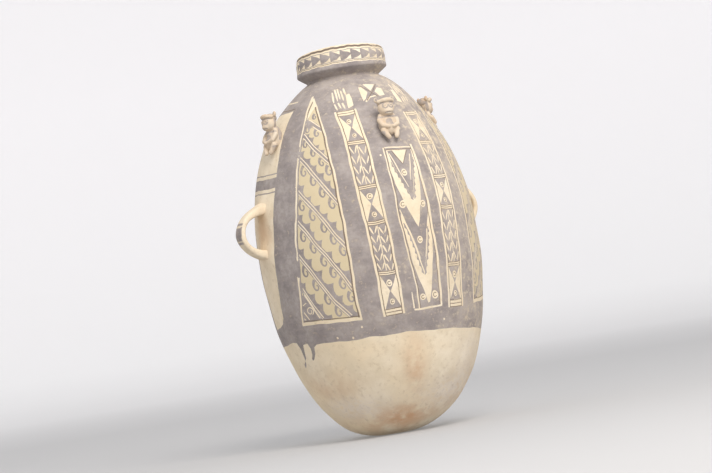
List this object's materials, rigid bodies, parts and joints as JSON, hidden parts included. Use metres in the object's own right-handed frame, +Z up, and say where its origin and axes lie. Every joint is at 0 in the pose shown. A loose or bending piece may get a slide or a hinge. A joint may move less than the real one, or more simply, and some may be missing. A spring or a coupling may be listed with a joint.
{
  "type": "painted pottery storage jar",
  "caption": "Tall egg-shaped earthenware jar with an upright collar, strap handles at the sides, small monkeys round the shoulder and dark painted panels on cream slip.",
  "frame": {"origin": "on the flat of the foot, where the jar's axis meets it", "axes": "+Z up the jar's axis, -Y towards the painted front, the handles close to -X and +X"},
  "size_m": [0.4966, 0.406, 0.708],
  "materials": {
    "fired_earthenware": "matt, chalky cream slip painted in dark purple-grey slip, worn and stained"
  },
  "bodies": {
    "root": {"amphora": "fired_earthenware"}
  },
  "joints": []
}
